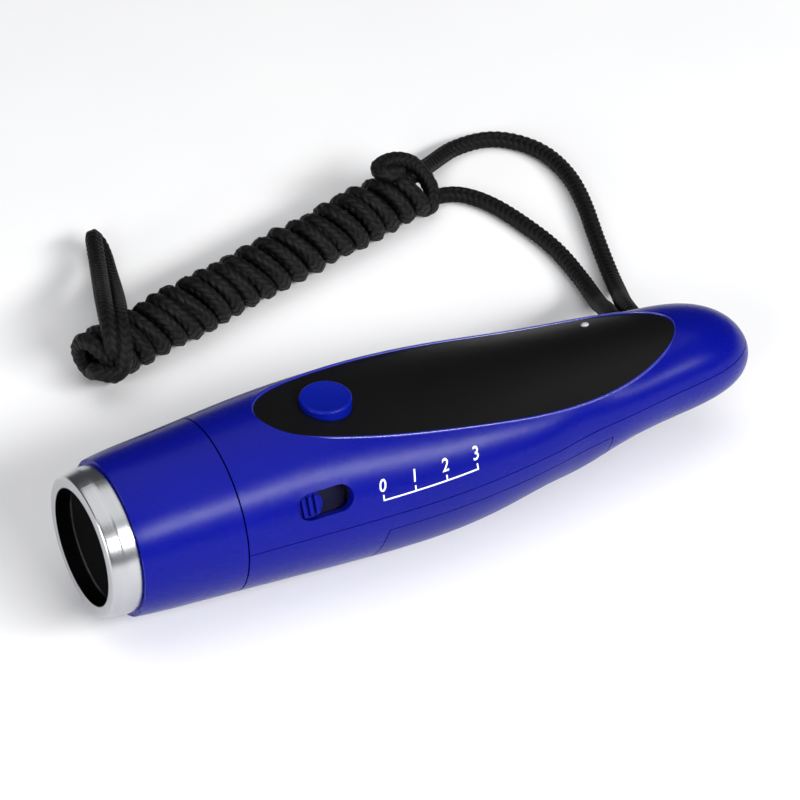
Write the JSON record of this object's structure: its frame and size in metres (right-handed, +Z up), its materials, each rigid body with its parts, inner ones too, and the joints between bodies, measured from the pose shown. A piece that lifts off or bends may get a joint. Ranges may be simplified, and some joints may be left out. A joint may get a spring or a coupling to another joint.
{
  "type": "training whistle",
  "caption": "Electronic training whistle: blue two-part casing with metal mouth ring, black thumb panel, push button, side tone slider, battery door and braided neck lanyard wound in a hank.",
  "frame": {"origin": "centre of the mouth rim, on the casing's axis", "axes": "+X from the mouth back to the tail, +Z up through the push button, tone slider on the -Y side, lanyard hank on the +Y side"},
  "size_m": [0.147, 0.124, 0.0355],
  "materials": {
    "ring_metal": "turned and satin brushed, bright chamfer",
    "black_plastic": "fine moulded black",
    "blue_shell": "deep royal blue ABS, semi-gloss",
    "blue_door": "deep royal blue ABS, semi-gloss",
    "blue_button": "royal blue, semi-gloss",
    "blue_knob": "royal blue, semi-gloss",
    "soft_black": "black soft-touch with a low sheen",
    "rubber_seal": "black nitrile",
    "spring_steel": "drawn wire",
    "switch_black": "black nylon",
    "plunger_nylon": "natural nylon",
    "switch_metal": "tinned steel can",
    "circuit_board": "green solder mask on glass epoxy",
    "zinc_steel": "zinc plated",
    "ferrite_core": "grey ferrite",
    "chip_epoxy": "black epoxy",
    "capacitor_can": "sleeved aluminium can",
    "grey_foam": "light grey foam",
    "pressed_steel": "pressed and plated",
    "dark_film": "dark polyester film",
    "copper_wire": "enamelled copper",
    "magnet_nickel": "nickel plated",
    "lead_sleeve": "PVC sleeve",
    "cell_jacket": "printed foil jacket over a steel can",
    "contact_nickel": "nickel plated strip",
    "braided_cord": "black braided polyester cord"
  },
  "bodies": {
    "root": {"mouth_ring": "ring_metal", "horn_sleeve": "black_plastic", "front_barrel": "blue_shell", "seam_seal": "rubber_seal", "upper_shell": "blue_shell", "lower_shell": "blue_shell", "inlay_panel": "soft_black", "button_spring": "spring_steel", "tact_switch": "switch_black", "slide_switch": "switch_metal", "switch_board": "circuit_board", "main_board": "circuit_board", "board_screws": "zinc_steel", "transformer": "ferrite_core", "controller_chip": "chip_epoxy", "capacitors": "capacitor_can", "speaker_gasket": "grey_foam", "speaker_frame": "pressed_steel", "diaphragm": "dark_film", "voice_coil": "copper_wire", "speaker_pole": "pressed_steel", "speaker_magnet": "magnet_nickel", "speaker_yoke": "pressed_steel", "speaker_leads": "lead_sleeve", "battery_tray": "black_plastic", "battery_cell_left": "cell_jacket", "battery_cell_right": "cell_jacket", "contact_plates": "contact_nickel", "contact_springs": "spring_steel", "shell_screws": "zinc_steel", "lanyard_anchor": "zinc_steel", "lanyard_bend": "braided_cord", "lanyard_strand_a": "braided_cord", "lanyard_strand_b": "braided_cord", "lanyard_bight": "braided_cord", "lanyard_hank": "braided_cord"},
    "door": {"battery_door": "blue_door"},
    "button": {"push_button": "blue_button", "tact_plunger": "plunger_nylon"},
    "slider": {"tone_knob": "blue_knob", "slider_carrier": "black_plastic", "switch_lever": "switch_black"}
  },
  "joints": [
    {"name": "button_press", "type": "slide", "parent": "root", "child": "button", "axis": [0, 0, -1], "range_m": [0, 0.001], "stiffness_N_per_m": 400, "springref_m": -0.001, "deforming": ["button_spring"]},
    {"name": "tone_slide", "type": "slide", "parent": "root", "child": "slider", "axis": [1, 0, 0], "range_m": [0, 0.00495]},
    {"name": "door_swing", "type": "hinge", "parent": "root", "child": "door", "pos_m": [0.101, 0, -0.0143], "axis": [0, -1, 0], "range_deg": [0, 70]}
  ]
}
